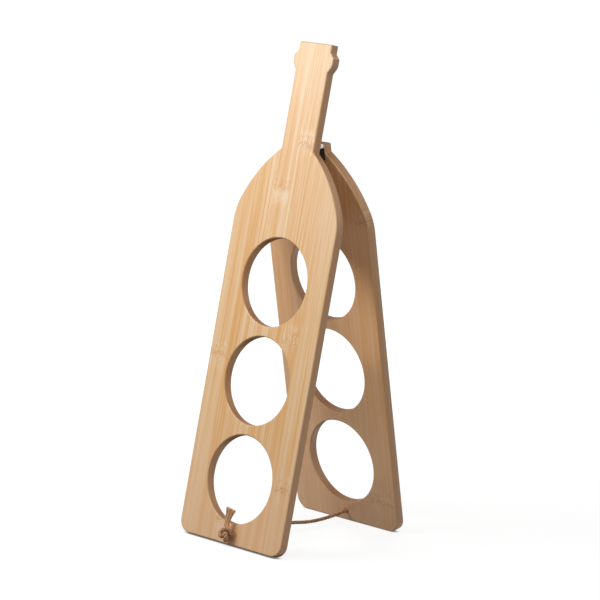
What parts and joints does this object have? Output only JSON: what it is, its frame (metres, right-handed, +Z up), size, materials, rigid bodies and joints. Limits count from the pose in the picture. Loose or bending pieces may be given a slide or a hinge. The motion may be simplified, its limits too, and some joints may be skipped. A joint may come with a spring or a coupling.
{
  "type": "bamboo wine rack",
  "caption": "Folding A-frame rack of bottle-shaped bamboo boards hinged at the neck and tied by a rope, with round holes that hold wine bottles lying on their sides.",
  "frame": {"origin": "on the surface that the rack stands on, midway between the feet of the two boards", "axes": "+Z up, -Y towards the front, where the board with the long neck faces, and +X across the boards, along the hinge"},
  "size_m": [0.145, 0.2062, 0.5033],
  "materials": {
    "bamboo": "satin lacquer over laminated strips",
    "plated_steel": "bright zinc plating",
    "jute": "twisted natural fibre, frayed at the ends"
  },
  "bodies": {
    "front": {"front_panel": "bamboo", "hinge_leaf_front": "plated_steel", "hinge_pin": "plated_steel", "hinge_screws_front": "plated_steel", "rope": "jute", "knot_front": "jute"},
    "back": {"back_panel": "bamboo", "hinge_leaf_back": "plated_steel", "hinge_screws_back": "plated_steel", "knot_back": "jute"}
  },
  "joints": [
    {"name": "fold", "type": "hinge", "parent": "front", "child": "back", "pos_m": [0, 0, 0.40201], "axis": [1, 0, 0], "range_deg": [-22.5, 0], "deforming": ["rope"]}
  ]
}
